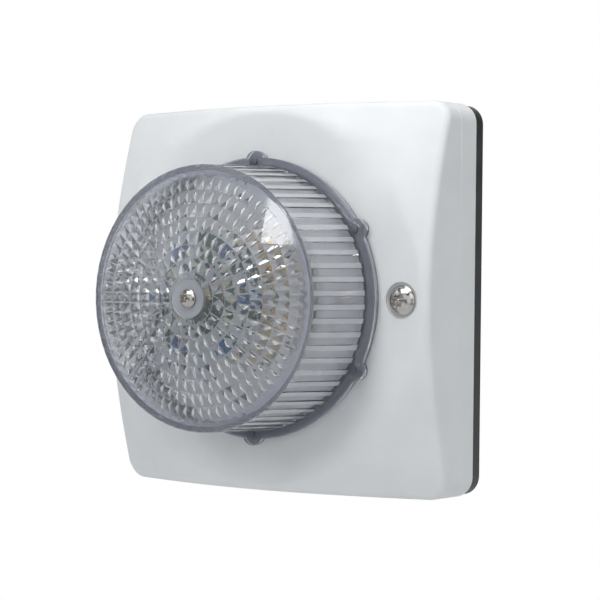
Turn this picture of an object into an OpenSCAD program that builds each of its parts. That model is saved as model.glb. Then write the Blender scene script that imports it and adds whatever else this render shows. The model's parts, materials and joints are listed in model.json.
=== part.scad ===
// Square wall strobe light: a black wall plate, a white front cover whose flat round
// face runs out to falling corners, and a clear ribbed drum lens over an LED tower.
// Frame: X to the right seen from the front, Z up, the front faces -Y.
// The origin is the centre of the back face, which lies on the wall plane y = 0.
// Every module is drawn lying down, local z being the depth out from the wall, and
// out_of_wall() stands it up.

/* [Enclosure] */
// Width and height of the front cover at its rear rim
cover_w = 150; // [146:1:200]
// How far the flat front face stands out from the wall
front_d = 41; // [34:0.5:52]
// Radius of the cover's four upright corners at the rear rim
corner_r = 8; // [6:0.5:14]
// How much each side leans in between the rear rim and the front
lean = 0.75; // [0.2:0.05:1.5]
// Wall thickness of the front cover
cover_wall = 2.5; // [2:0.1:3]
// How far the edge of the flat round front face stays inside the cover's sides
face_inset = 3; // [1:0.5:5]
// Fall of the corners beyond the flat face, in mm for each mm of radius
corner_fall = 0.486; // [0.3:0.002:0.55]

/* [Wall plate] */
// Height of the plate's visible edge
plate_h = 5.6; // [4.6:0.1:8]
// How far the plate's outline stays inside the cover's rim, on each side
plate_inset = 0.4; // [0.2:0.1:1]
// Thickness of the plate's floor
floor_t = 3; // [2.5:0.1:4]
// Height of the lip that reaches up inside the cover
lip_h = 4.5; // [3:0.1:7]
// Thickness of the lip
lip_t = 2; // [1.5:0.1:3]
// Spacing of the four wall screws, sideways and up
wall_pitch = 100; // [90:1:112]
// Radius of the four wall screw holes
wall_hole_r = 2.5; // [2:0.1:3]
// Spacing of the two gang box slots, up and down
gang_pitch = 83.3; // [60:0.1:86]
// Width of a gang box slot
slot_w = 4.6; // [4:0.1:5.2]
// End-to-end length of a gang box slot
slot_l = 9; // [7:0.1:12]

/* [Cable entry] */
// Radius of the hole through the rubber grommet
cable_r = 3.25; // [2:0.05:5]
// Radius of the plate hole that the grommet snaps into
entry_r = 11; // [8:0.5:14]

/* [Cover screws] */
// Distance of each cover screw from the cover's side
screw_inset = 12; // [11.5:0.1:13]
// Radius of the cover screw's shank
screw_r = 2.5; // [2:0.1:3]
// Radius of the cover screw's head
head_r = 5.6; // [5:0.1:6]
// Height of the cover screw's domed head
head_h = 3.2; // [2.5:0.1:4]
// Length of the cover screw's shank under the head
screw_l = 16; // [14:0.5:18]
// Depth of the round recess in the face around each head
recess_h = 1.2; // [0.8:0.1:1.6]
// Thickness of the sealing washer under the head
washer_t = 1; // [0.6:0.1:1.4]

/* [Lens] */
// How far the lens foot flange stands out past the lens wall
foot_w = 3; // [2:0.5:4.5]
// Thickness of the lens foot flange
flange_t = 3; // [2:0.1:4]
// Thickness of the gasket under the flange
gasket_t = 1.2; // [0.8:0.1:2]
// Outer radius of the lens wall where it rises from the flange
lens_r = 51; // [42:0.5:51.5]
// How much the lens wall leans in on its way to the front
lens_lean = 1.5; // [0.5:0.1:3]
// Height of the lens wall over the flange
lens_wall_h = 34.4; // [28:0.2:44]
// Rise of the domed front over the top of the wall
dome_rise = 7.9; // [5:0.1:12]
// Thickness of the lens
lens_t = 2.6; // [2:0.1:3.5]
// Radius of the smooth disc sunk in the middle of the dome
eye_r = 7.2; // [6:0.1:10]
// Depth of that disc below the dome
eye_h = 0.6; // [0.3:0.1:1]
// Radius of the six round ears on the flange
ear_r = 4.2; // [3:0.1:5]
// How far an ear stands out past the flange
ear_out = 2.6; // [1.5:0.1:3]

/* [Lens screw] */
// Radius of the lens screw's shank
pin_r = 2; // [1.5:0.1:2.5]
// Radius of the lens screw's head
pin_head_r = 3.5; // [3:0.1:4]
// Height of the lens screw's head
pin_head_h = 2.4; // [1.8:0.1:3]
// Length of the lens screw's shank under the head
pin_l = 10; // [9:0.5:10.5]
// Thickness of the seal under the lens screw's head
pin_seal_t = 0.8; // [0.5:0.1:1.2]

/* [LED tower] */
// Width of the six-sided tower across its flats
tower_w = 34; // [28:0.5:40]
// Radius of the tower's hollow
tower_bore_r = 12; // [8:0.5:12]
// Thickness of the tower's closed top
tower_top_t = 4; // [3:0.5:6]
// Width of each side LED board
side_board_w = 16; // [12:0.5:16]
// Radius of the front LED board
front_board_r = 24; // [22:0.5:28]
// Height of the threaded post that the lens screw enters
post_h = 9; // [8:0.5:12]
// Width of the post across its flats
post_w = 8; // [7:0.5:10]
// Side of one square LED
led_w = 5; // [3.5:0.1:6]
// Number of LEDs up each side of the tower
leds_up = 4; // [2:1:5]

/* [Main board] */
// Thickness of every circuit board
board_t = 1.6; // [1.2:0.1:2]
// Gap between the cover's inner face and the main board
board_drop = 6.9; // [6:0.1:9]
// Gap between the board's edge and the plate's screw columns
board_gap = 1.6; // [1:0.1:3]
// Thickness of the reflector plate
reflector_t = 1.5; // [1:0.1:2]
// How far the reset button travels
button_travel = 0.5; // [0.3:0.1:1]

/* [Fits] */
// Gap between parts that seat on each other but come apart
seat_gap = 0.1; // [0.05:0.05:0.2]
// Radial gap of a shank in its thread or seal
run_gap = 0.05; // [0.02:0.01:0.1]
// Radial gap of a shank in a plain hole
hole_gap = 0.3; // [0.2:0.05:0.5]
// Side gap between the plate's lip and the cover
lip_gap = 0.4; // [0.3:0.1:0.6]

/* [Hidden] */
$fn = 72;
eps = 0.5;                                    // how far a cutter runs past a face

half = cover_w / 2;
screw_x = half - screw_inset;
face_r = half - face_inset;
flange_r = lens_r + foot_w;
face_angle = atan(corner_fall);
inner_d = front_d - cover_wall;               // depth of the cover's inner face
lip_top = plate_h + lip_h;

recess_r = head_r + 1;
boss_wall = 1;                                // of the cover's boss, around that recess
seat_d = front_d - recess_h;                  // recess floor, where the washer sits
head_d = seat_d + washer_t;
insert_l = 8;
insert_wall = 1.1;
insert_r = screw_r + insert_wall;
screw_room = 4;                               // free depth behind an insert
column_r = 5.5;
cover_boss_h = 4.3;                           // from the cover's inner face to the boss's end
column_top = inner_d - cover_boss_h - seat_gap;

board_front = inner_d - board_drop;
board_rear = board_front - board_t;
board_half = screw_x - column_r - board_gap;
board_cut = 14;                               // corners cut off the square main board
boss_r = 4;
boss_edge = 11;                               // from a board screw to the board's edge
boss_xy = min(board_half - boss_edge, face_r / sqrt(2) - boss_r);
small_r = 1.5;                                // M3 shank of the inner screws
small_head_r = small_r + 1.2;
small_head_h = 2.2;
small_slot = [0.8, 1];                        // width and depth of an inner screw's slot
boss_bite = 7.5;                              // how far a screw reaches past the board's rear
tower_bite = 9;
reflector_d = inner_d - reflector_t;
lens_seat = 1.9;                              // how far the cover reaches in under the lens
opening_r = lens_r - lens_t - lens_seat;
reflector_lap = 3.5;                          // how far the reflector runs under the cover
reflector_r = opening_r + reflector_lap;
spacer_edge = 10.5;                           // from a reflector spacer to the opening's edge
spacer_at = opening_r - spacer_edge;
spacer_r = 2.5;
tower_gap = 0.5;                              // between the reflector and the tower

gasket_top = front_d + gasket_t;
flange_d = gasket_top + seat_gap;
wall_d = flange_d + flange_t;
rim_d = wall_d + lens_wall_h;
rim_r = lens_r - lens_lean;
apex_d = rim_d + dome_rise;
dome_r = (rim_r * rim_r + dome_rise * dome_rise) / (2 * dome_rise);
eye_d = apex_d - eye_h;
dome_in = apex_d - lens_t - eye_h;            // inner face of the dome at the middle
ear_at = flange_r + ear_out - ear_r;
ear_angles = [30 : 60 : 330];
lug_r = 1.9;                                  // small lug over each ear
lug_h = 1.2;

post_top = dome_in - seat_gap;
front_board_top = post_top - post_h;
tower_top = front_board_top - board_t;
tower_corner = tower_w / 2 / cos(30);
tower_screw_at = (tower_bore_r + tower_corner) / 2;
side_rise = 4;                                // of the side boards over the reflector
side_drop = 1;                                // of the side boards under the tower's top
side_top = tower_top - side_drop;
side_foot = inner_d + side_rise;
post_floor = 1;                               // solid end of the post under its bore
side_out = tower_w / 2 + board_t;
led_h = 1.4;
front_led_at = 11.5;                          // inner edge of the front LEDs
blue_size = [5, 3.6, 3];
blue_edge = 1.5;                              // from a blue capacitor to the board's edge
wire_slot = [8, 2];                           // slot in the tower's top for the ribbon
wire_y = 4;
ribbon = [7, 0.9];
connector = [10, 6, 5];

jack = [16, 21, 13.5];
jack_foot = -39;
plug = [11.8, 14, 8];                         // hollow of the network jack
plug_up = 3;                                  // from the board to that hollow
terminal = [26, 11, 10];
terminal_at = [16, -37];
poles = 5;
wire_hole_r = 1.2;
wire_hole_l = 8;
wire_hole_up = 4;                             // from the board to a wire hole's middle
cap_r = 5;
cap_h = 11;
coil_base = [14, 14, 2];
coil_at = [18, 12];
coil_r = 6;
coil_h = 6;
switch_w = 6;
switch_h = 3.5;
switch_floor = 1;                             // of the switch, between its hollow and the board
press_gap = 0.1;                              // left under the button when it is pressed
button_r = 1.7;
button_out = 4;
button_at = [-22, 26];

plate_half = half - plate_inset;
plate_r = corner_r - plate_inset;
plate_rim = 6;                                // width of the plate's raised edge
seal_w = 1.4;                                 // width and height of the cover seal
seal_inset = 0.6;
foam_half = plate_half - 8;
foam_r = 6;
foam_w = 5;
foam_t = 1;
lip_half = half - cover_wall - lean * lip_h / (front_d - plate_h) - lip_gap;
lip_r = corner_r - cover_wall - lip_gap;
grommet_lip = 2.5;                            // how far the grommet's collars stand out
grommet_rear = 1;
grommet_front = 2;
neck_h = 2;
neck_wall = [4, 2];                           // of the neck, at its foot and its end
fuse = 0.5;                                   // how far a boss runs into the wall it grows from

module out_of_wall() { rotate([90, 0, 0]) children(); }

// Upright prism with round corners, its sides leaning in by `tip` at the front
module rounded_block(side, r, tip, d0, d1) {
    flat = side - r;
    for (turn = [0, 90])
        rotate([0, 0, turn]) rotate([90, 0, 0]) translate([0, 0, -flat])
            linear_extrude(2 * flat)
                polygon([[-side, d0], [side, d0], [side - tip, d1], [tip - side, d1]]);
    for (sx = [-1, 1], sy = [-1, 1])
        translate([sx * flat, sy * flat, d0]) cylinder(h = d1 - d0, r1 = r, r2 = r - tip);
}

// Ring between two rounded prisms that share their corner centres
module rounded_ring(side, r, width, d0, d1) {
    difference() {
        rounded_block(side, r, 0, d0, d1);
        rounded_block(side - width, r - width, 0, d0 - eps, d1 + eps);
    }
}

// Flat round face of radius r at depth d, and the cone that falls away around it
module falling_face(r, d) {
    cylinder(h = d, r1 = r + d / corner_fall, r2 = r);
}

module disc_at(r, d0, d1) { translate([0, 0, d0]) cylinder(h = d1 - d0, r = r); }
module box_at(p, size) { translate([p.x, p.y, p.z]) cube(size); }
module at_cover_screws() { for (s = [-1, 1]) translate([s * screw_x, 0, 0]) children(); }
module at_bosses() {
    for (sx = [-1, 1], sy = [-1, 1]) translate([sx * boss_xy, sy * boss_xy, 0]) children();
}
module at_ears() { for (a = ear_angles) rotate([0, 0, a]) translate([ear_at, 0, 0]) children(); }
module at_faces() { for (a = [30 : 60 : 330]) rotate([0, 0, a]) children(); }
module at_tower_screws() {
    for (a = [0, 120, 240]) rotate([0, 0, a]) translate([tower_screw_at, 0, 0]) children();
}
module hex(width, d0, d1) {
    translate([0, 0, d0]) linear_extrude(d1 - d0) circle(r = width / 2 / cos(30), $fn = 6);
}

// Low domed head over a plain shank, with a six-lobe recess around a guard pin
module domed_screw(shank_r, shank_l, cap_r, cap_h, lobe_r) {
    ball_r = (cap_r * cap_r + cap_h * cap_h) / (2 * cap_h);
    difference() {
        intersection() {
            disc_at(cap_r, 0, cap_h);
            translate([0, 0, cap_h - ball_r]) sphere(r = ball_r);
        }
        difference() {
            union() {
                disc_at(lobe_r, cap_h * 0.45, cap_h + eps);
                for (a = [0 : 60 : 300])
                    rotate([0, 0, a]) translate([lobe_r, 0, 0])
                        disc_at(lobe_r * 0.34, cap_h * 0.45, cap_h + eps);
            }
            disc_at(lobe_r * 0.36, 0, cap_h * 0.8);
        }
    }
    disc_at(shank_r, -shank_l, 0.3);
}

module ring_at(outer, inner, d0, d1) {
    difference() {
        disc_at(outer, d0, d1);
        disc_at(inner, d0 - eps, d1 + eps);
    }
}

// ---- wall side ----

module seal_ring(d0, d1) { rounded_ring(half - seal_inset, corner_r - seal_inset, seal_w, d0, d1); }
module foam_ring(d0, d1) { rounded_ring(foam_half, foam_r, foam_w, d0, d1); }

module back_plate() {
    color([0.13, 0.13, 0.14]) out_of_wall() difference() {
        union() {
            rounded_block(plate_half, plate_r, 0, 0, floor_t);
            rounded_ring(plate_half, plate_r, plate_rim, 0, plate_h);
            rounded_ring(lip_half, lip_r, lip_t, 0, lip_top);
            at_cover_screws() disc_at(column_r, 0, column_top);
        }
        seal_ring(plate_h - seal_w, plate_h + eps);
        foam_ring(-eps, foam_t);
        at_cover_screws() {
            disc_at(insert_r, column_top - insert_l, column_top + eps);
            disc_at(screw_r + hole_gap, column_top - insert_l - screw_room, column_top);
        }
        for (sx = [-1, 1], sy = [-1, 1])
            translate([sx * wall_pitch / 2, sy * wall_pitch / 2, 0])
                disc_at(wall_hole_r, -eps, floor_t + eps);
        for (sy = [-1, 1]) translate([0, sy * gang_pitch / 2, 0]) gang_slot();
        disc_at(entry_r, -eps, floor_t + eps);
        disc_at(entry_r + grommet_lip, -eps, grommet_rear);
    }
}
module gang_slot() {
    reach = (slot_l - slot_w) / 2;
    for (s = [-1, 1]) translate([0, s * reach, 0]) disc_at(slot_w / 2, -eps, floor_t + eps);
    box_at([-slot_w / 2, -reach, -eps], [slot_w, 2 * reach, floor_t + 2 * eps]);
}
module wall_seal() { color([0.22, 0.22, 0.23]) out_of_wall() foam_ring(0, foam_t); }
module cover_seal() {
    color([0.3, 0.3, 0.31]) out_of_wall() seal_ring(plate_h - seal_w, plate_h);
}
module cover_inserts() {
    color([0.78, 0.62, 0.28]) out_of_wall() at_cover_screws()
        ring_at(insert_r, screw_r + run_gap, column_top - insert_l, column_top);
}
module cable_grommet() {
    top = floor_t + grommet_front;
    color([0.1, 0.1, 0.1]) out_of_wall() difference() {
        union() {
            disc_at(entry_r + grommet_lip, 0, grommet_rear);
            disc_at(entry_r, 0, top);
            disc_at(entry_r + grommet_lip, floor_t, top);
            translate([0, 0, top])
                cylinder(h = neck_h, r1 = cable_r + neck_wall[0], r2 = cable_r + neck_wall[1]);
        }
        disc_at(cable_r, -eps, top + neck_h + eps);
    }
}

// ---- front cover and what it carries ----

module front_cover() {
    inner_face_r = face_r - cover_wall * (1 / cos(face_angle) - 1) / corner_fall;
    cover_d = plate_h + seat_gap;
    color([0.9, 0.91, 0.91]) out_of_wall() difference() {
        union() {
            difference() {
                intersection() {
                    rounded_block(half, corner_r, lean, cover_d, front_d);
                    falling_face(face_r, front_d);
                }
                intersection() {
                    rounded_block(half - cover_wall, corner_r - cover_wall, lean,
                        cover_d - eps, inner_d);
                    falling_face(inner_face_r, inner_d);
                }
            }
            at_cover_screws() disc_at(recess_r + boss_wall, inner_d - cover_boss_h, inner_d + fuse);
            at_bosses() disc_at(boss_r, board_front, inner_d + fuse);
        }
        at_cover_screws() {
            disc_at(recess_r, seat_d, front_d + eps);
            disc_at(screw_r + hole_gap, column_top, front_d);
        }
        at_bosses() disc_at(small_r, board_front - eps, inner_d);
        disc_at(opening_r, inner_d - eps, front_d + eps);
    }
}
module lens_gasket() {
    color([0.35, 0.36, 0.38]) out_of_wall() difference() {
        union() {
            disc_at(flange_r - 0.4, front_d, gasket_top);
            at_ears() disc_at(ear_r - 0.4, front_d, gasket_top);
        }
        disc_at(opening_r, front_d - eps, gasket_top + eps);
    }
}
module reflector() {
    color([0.88, 0.89, 0.9]) out_of_wall() difference() {
        disc_at(reflector_r, reflector_d, inner_d);
        hex(tower_w + 2 * tower_gap, reflector_d - eps, inner_d + eps);
    }
}
module reflector_spacers() {
    color([0.9, 0.88, 0.8]) out_of_wall()
        for (a = [15 : 60 : 315]) rotate([0, 0, a]) translate([spacer_at, 0, 0])
            disc_at(spacer_r, board_front, reflector_d);
}
module main_board() {
    b = board_half;
    c = board_half - board_cut;
    color([0.05, 0.33, 0.18]) out_of_wall() difference() {
        translate([0, 0, board_rear]) linear_extrude(board_t)
            polygon([[-c, -b], [c, -b], [b, -c], [b, c], [c, b], [-c, b], [-b, c], [-b, -c]]);
        at_bosses() disc_at(small_r + hole_gap, board_rear - eps, board_front + eps);
        at_tower_screws() disc_at(small_r + hole_gap, board_rear - eps, board_front + eps);
    }
}
// Cheese-head screw standing on its shank, the head towards the wall
module board_screw(length) {
    head_d0 = board_rear - small_head_h;
    disc_at(small_r, board_rear - 0.2, board_rear + length);
    difference() {
        disc_at(small_head_r, head_d0, board_rear);
        translate([0, 0, head_d0 - eps]) linear_extrude(small_slot[1] + eps)
            square([small_slot[0], 3 * small_head_r], center = true);
    }
}
module board_screws() { color([0.75, 0.75, 0.77]) out_of_wall() at_bosses() board_screw(boss_bite); }
module tower_screws() {
    color([0.75, 0.75, 0.77]) out_of_wall() at_tower_screws() board_screw(tower_bite);
}

module led_tower() {
    top_d0 = tower_top - tower_top_t;
    color([0.7, 0.71, 0.73]) out_of_wall() difference() {
        hex(tower_w, board_front, tower_top);
        disc_at(tower_bore_r, board_front - eps, top_d0);
        at_tower_screws() disc_at(small_r, board_front - eps, board_rear + tower_bite);
        disc_at(small_r, top_d0 - eps, tower_top + eps);
        box_at([-wire_slot.x / 2, wire_y, top_d0 - eps],
            [wire_slot.x, wire_slot.y, tower_top_t + 2 * eps]);
    }
}
module side_led_boards() {
    color([0.88, 0.88, 0.84]) out_of_wall() at_faces()
        box_at([tower_w / 2, -side_board_w / 2, side_foot],
            [board_t, side_board_w, side_top - side_foot]);
}
module side_leds() {
    pitch = (side_top - side_foot) / leds_up;
    color([0.95, 0.78, 0.25]) out_of_wall() at_faces()
        for (n = [0 : leds_up - 1])
            box_at([side_out, -led_w / 2, side_foot + (n + 0.5) * pitch - led_w / 2],
                [led_h, led_w, led_w]);
}
module front_led_board() {
    color([0.08, 0.36, 0.2]) out_of_wall() difference() {
        disc_at(front_board_r, tower_top, front_board_top);
        disc_at(small_r, tower_top - eps, front_board_top + eps);
    }
}
module front_leds() {
    color([0.95, 0.78, 0.25]) out_of_wall() at_faces()
        box_at([front_led_at, -led_w / 2, front_board_top], [led_w, led_w, led_h]);
}
module blue_capacitors() {
    color([0.1, 0.35, 0.7]) out_of_wall()
        for (a = [0 : 60 : 300]) rotate([0, 0, a])
            box_at([front_board_r - blue_edge - blue_size.x, -blue_size.y / 2, front_board_top],
                blue_size);
}
module lens_post() {
    color([0.8, 0.64, 0.3]) out_of_wall() difference() {
        union() {
            hex(post_w, front_board_top, post_top);
            disc_at(small_r, tower_top - tower_top_t, front_board_top + eps);
        }
        disc_at(pin_r + run_gap, front_board_top + post_floor, post_top + eps);
    }
}
module led_connector() {
    color([0.9, 0.88, 0.8]) out_of_wall()
        box_at([-connector.x / 2, wire_y + wire_slot.y / 2 - connector.y / 2, board_front],
            connector);
}
module led_ribbon() {
    foot = board_front + connector.z;
    color([0.75, 0.75, 0.75]) out_of_wall()
        box_at([-ribbon.x / 2, wire_y + wire_slot.y / 2 - ribbon.y / 2, foot],
            [ribbon.x, ribbon.y, tower_top - foot]);
}

// ---- parts on the rear of the main board ----

module behind_board(p, size) { box_at([p.x, p.y, board_rear - size.z], size); }

module smoothing_capacitors() {
    color([0.12, 0.12, 0.2]) out_of_wall()
        for (y = [-16, -2, 12])
            translate([-34, y, 0]) disc_at(cap_r, board_rear - cap_h, board_rear);
}
module power_inductor() {
    coil_top = board_rear - coil_base.z;
    color([0.25, 0.25, 0.26]) out_of_wall() {
        behind_board(coil_at, coil_base);
        translate([coil_at.x + coil_base.x / 2, coil_at.y + coil_base.y / 2, 0])
            disc_at(coil_r, coil_top - coil_h, coil_top);
    }
}
module control_chips() {
    color([0.1, 0.1, 0.1]) out_of_wall() {
        behind_board([-6, 17], [12, 12, 1.4]);
        behind_board([-19, -8], [7, 5, 1.2]);
        behind_board([3, -12], [6, 6, 1.2]);
        behind_board([24, -6], [10, 7, 1.8]);
    }
}
module network_jack() {
    color([0.2, 0.2, 0.21]) out_of_wall() difference() {
        behind_board([-jack.x / 2, jack_foot], jack);
        box_at([-plug.x / 2, jack_foot - eps, board_rear - plug_up - plug.z],
            [plug.x, plug.y + eps, plug.z]);
    }
}
module terminal_block() {
    pole_pitch = terminal.x / poles;
    color([0.1, 0.45, 0.25]) out_of_wall() difference() {
        behind_board(terminal_at, terminal);
        for (n = [0 : poles - 1])
            translate([terminal_at.x + (n + 0.5) * pole_pitch, terminal_at.y - eps,
                board_rear - wire_hole_up])
                rotate([-90, 0, 0]) cylinder(h = wire_hole_l, r = wire_hole_r);
    }
}
module reset_switch() {
    color([0.55, 0.55, 0.56]) out_of_wall() difference() {
        behind_board(button_at - [switch_w, switch_w] / 2, [switch_w, switch_w, switch_h]);
        translate([button_at.x, button_at.y, 0])
            disc_at(button_r + run_gap, board_rear - switch_h - eps, board_rear - switch_floor);
    }
}
module reset_button() {
    color([0.1, 0.1, 0.1]) out_of_wall() translate([button_at.x, button_at.y, 0])
        disc_at(button_r, board_rear - switch_h - button_out,
            board_rear - switch_floor - press_gap - button_travel);
}

// ---- lens ----

// Half of a wall that leans in and is closed by a dome, as a section with the depth upwards
module dome_section(foot_r, top) {
    slope = lens_lean / lens_wall_h;
    intersection() {
        polygon([[0, flange_d - eps], [foot_r + slope * (wall_d - flange_d + eps), flange_d - eps],
            [foot_r - slope * (top - wall_d), top], [0, top]]);
        translate([0, top - dome_r]) circle(r = dome_r, $fn = 360);
    }
}
module lens() {
    hole_r = pin_r + hole_gap;
    color([0.78, 0.81, 0.9, 0.45]) out_of_wall() {
        rotate_extrude() difference() {
            intersection() {
                dome_section(lens_r, apex_d);
                translate([hole_r, flange_d]) square([lens_r, apex_d]);
            }
            dome_section(lens_r - lens_t, dome_in);
            translate([0, eye_d]) square([eye_r, eps + eye_h]);
        }
        difference() {
            union() {
                disc_at(flange_r, flange_d, wall_d);
                at_ears() disc_at(ear_r, flange_d, wall_d);
                at_ears() disc_at(lug_r, wall_d - eps, wall_d + lug_h);
            }
            disc_at(lens_r - lens_t / 2, flange_d - eps, wall_d + lug_h + eps);
        }
    }
}
module lens_washer() {
    color([0.15, 0.15, 0.15]) out_of_wall()
        ring_at(pin_head_r - 0.2, pin_r + run_gap, eye_d, eye_d + pin_seal_t);
}
module lens_screw() {
    color([0.72, 0.71, 0.69]) out_of_wall() translate([0, 0, eye_d + pin_seal_t])
        domed_screw(pin_r, pin_l, pin_head_r, pin_head_h, 1.2);
}

// ---- cover screws ----

module cover_washer(side) {
    color([0.15, 0.15, 0.15]) out_of_wall() translate([side * screw_x, 0, 0])
        ring_at(head_r - 0.3, screw_r + run_gap, seat_d, head_d);
}
module cover_screw(side) {
    color([0.72, 0.71, 0.69]) out_of_wall() translate([side * screw_x, 0, head_d])
        domed_screw(screw_r, screw_l, head_r, head_h, 1.9);
}
module left_washer() { cover_washer(-1); }
module left_screw() { cover_screw(-1); }
module right_washer() { cover_washer(1); }
module right_screw() { cover_screw(1); }

back_plate();
wall_seal();
cover_seal();
cover_inserts();
cable_grommet();
front_cover();
lens_gasket();
reflector();
reflector_spacers();
main_board();
board_screws();
led_tower();
tower_screws();
side_led_boards();
side_leds();
front_led_board();
front_leds();
blue_capacitors();
lens_post();
led_connector();
led_ribbon();
smoothing_capacitors();
power_inductor();
control_chips();
network_jack();
terminal_block();
reset_switch();
reset_button();
lens();
lens_washer();
lens_screw();
left_washer();
left_screw();
right_washer();
right_screw();
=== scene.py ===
"""Looks of the square wall strobe light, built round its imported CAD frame.

Frame: metres, +Z up, the light faces -Y, the wall plane is y = 0. Shapes are drawn in millimetres
as (x, z, depth), the depth being the distance out from the wall, and place() turns them into metres.
"""
import json
import math

import bmesh
import bpy
from mathutils import Matrix, Vector


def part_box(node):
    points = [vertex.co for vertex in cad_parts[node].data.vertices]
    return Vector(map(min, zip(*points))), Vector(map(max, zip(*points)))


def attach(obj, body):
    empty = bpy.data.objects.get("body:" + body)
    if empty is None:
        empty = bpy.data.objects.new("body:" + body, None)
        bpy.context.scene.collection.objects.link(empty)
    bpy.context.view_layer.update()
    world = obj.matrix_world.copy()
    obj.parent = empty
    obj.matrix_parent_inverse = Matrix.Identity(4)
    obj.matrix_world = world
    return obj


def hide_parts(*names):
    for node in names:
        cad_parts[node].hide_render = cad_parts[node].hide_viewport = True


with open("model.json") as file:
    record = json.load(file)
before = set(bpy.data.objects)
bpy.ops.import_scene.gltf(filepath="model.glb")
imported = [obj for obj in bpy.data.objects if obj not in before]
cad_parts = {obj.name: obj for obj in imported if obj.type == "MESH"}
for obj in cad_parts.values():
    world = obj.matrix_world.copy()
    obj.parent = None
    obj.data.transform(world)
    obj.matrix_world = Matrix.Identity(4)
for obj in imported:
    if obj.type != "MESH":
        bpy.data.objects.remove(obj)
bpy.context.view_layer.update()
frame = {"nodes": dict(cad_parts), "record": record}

MM = 0.001
TURN = 2 * math.pi


def depth_range(node):
    """Depths of a CAD node's rear and front, in mm out from the wall."""
    low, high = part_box(node)
    return -high.y / MM, -low.y / MM


# ---- sizes, in mm, taken from the frame where it has them ----

COVER_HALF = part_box("front_cover")[1].x / MM
COVER_REAR, FACE_D = depth_range("front_cover")
COVER_WALL = 2.5
COVER_LEAN = 0.75
CORNER_R = 8.0
FACE_R = COVER_HALF - 3
CORNER_FALL = 0.486
COVER_FILLET = 2.4
FILLET_STEPS = 8
PART_LINE_D = 17.4
PART_LINE_T = 0.14                              # depth of the groove along the parting line
SCREW_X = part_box("right_washer")[0].x / MM + 5.3
COLUMN_TOP = 34.1
OPENING_R = 46.5

FOOT_D = depth_range("lens")[0]
FOOT_T = 3.0
WALL_D = FOOT_D + FOOT_T
FLANGE_R = 54.0
LENS_R = 51.0
RIM_R = 49.5
RIM_D = 79.7
APEX_D = 87.6
LENS_T = 2.6
EYE_R = 7.2
EYE_H = 0.6
EYE_D = APEX_D - EYE_H
PIN_HOLE_R = 2.3
EARS = 6
EAR_R, EAR_AT, EAR_FIRST = 4.2, 52.4, 30
FLANGE_STEPS, GASKET_STEPS, EYE_STEPS = 720, 540, 72
DOME_R = (RIM_R ** 2 + (APEX_D - RIM_D) ** 2) / (2 * (APEX_D - RIM_D))
DOME_IN = APEX_D - LENS_T - EYE_H


LED_W = 5.0
LEDS_UP = 4
FRONT_LED_AT = 14.0
TOWER_SIDES, TOWER_FIRST = 6, 30                # the first side faces 30 degrees above +X

RIBS = 62
RIB_H = 0.5
RIB_STEPS = [0.0, 0.13, 0.27, 0.31, 0.5, 0.69, 0.73, 0.87]
RIB_RAISED = [0, 0, 0, 1, 1, 1, 0, 0]
FACET_RAYS, FIRST_FACETS = 9, 8
# width of the milky strips between the facets, which carry a painted highlight
RIDGE_W = 0.5
FACET_EDGES = [44.7, 39.7, 34.7, 29.7, 24.7, 19.7, 14.7, 9.7, EYE_R]


def place(x, z, d):
    """The point in metres that lies at (x, z), d mm out from the wall."""
    return Vector((x * MM, -d * MM, z * MM))


def polar(r, angle, d):
    """The same about the lens axis, the angle in radians up from +X."""
    return place(r * math.cos(angle), r * math.sin(angle), d)


# ---- camera, lights, floor ----

CAMERA_AZIMUTH, CAMERA_ELEVATION, CAMERA_ROLL = 33.201, 0.634, 0.584
CAMERA_DISTANCE = 0.7367
CAMERA_TARGET = Vector((0.018056, -0.040, -0.000459))
CAMERA_LENS = 116.08
FLOOR_HALF, FLOOR_Z = 0.8, -0.35


def direction(azimuth, elevation):
    """Unit vector from the object towards a viewer or a light there."""
    a, e = math.radians(azimuth), math.radians(elevation)
    return Vector((math.sin(a) * math.cos(e), -math.cos(a) * math.cos(e), math.sin(e)))


def add_camera():
    data = bpy.data.cameras.new("camera")
    data.lens = CAMERA_LENS
    data.sensor_width = 36
    data.clip_start = 0.01
    camera = bpy.data.objects.new("camera", data)
    bpy.context.scene.collection.objects.link(camera)
    back = direction(CAMERA_AZIMUTH, CAMERA_ELEVATION)
    side = Vector((0, 0, 1)).cross(back).normalized()
    up = back.cross(side)
    roll = math.radians(CAMERA_ROLL)
    right = side * math.cos(roll) + up * math.sin(roll)
    top = up * math.cos(roll) - side * math.sin(roll)
    turn = Matrix((right, top, back)).transposed().to_4x4()
    camera.matrix_world = Matrix.Translation(CAMERA_TARGET + back * CAMERA_DISTANCE) @ turn
    bpy.context.scene.camera = camera


def add_light(name, azimuth, elevation, distance, size, power):
    data = bpy.data.lights.new(name, "AREA")
    data.shape = "RECTANGLE"
    data.size, data.size_y = size
    data.energy = power
    light = bpy.data.objects.new(name, data)
    bpy.context.scene.collection.objects.link(light)
    back = direction(azimuth, elevation)
    light.location = back * distance
    light.rotation_euler = back.to_track_quat("Z", "Y").to_euler()


def studio_panels(tree):
    """Strength of the surroundings: bright panels and dim gaps, which glass and steel pick up."""
    coords = tree.nodes.new("ShaderNodeTexCoord").outputs["Generated"]
    cells = tree.nodes.new("ShaderNodeTexVoronoi")
    cells.feature = "SMOOTH_F1"
    cells.inputs["Scale"].default_value = 2.6
    cells.inputs["Smoothness"].default_value = 0.25
    tree.links.new(coords, cells.inputs["Vector"])
    split = tree.nodes.new("ShaderNodeSeparateColor")
    tree.links.new(cells.outputs["Color"], split.inputs[0])
    return range_socket(tree, split.outputs[0], 0.08, 0.9, 0.28, 0.78)


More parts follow.
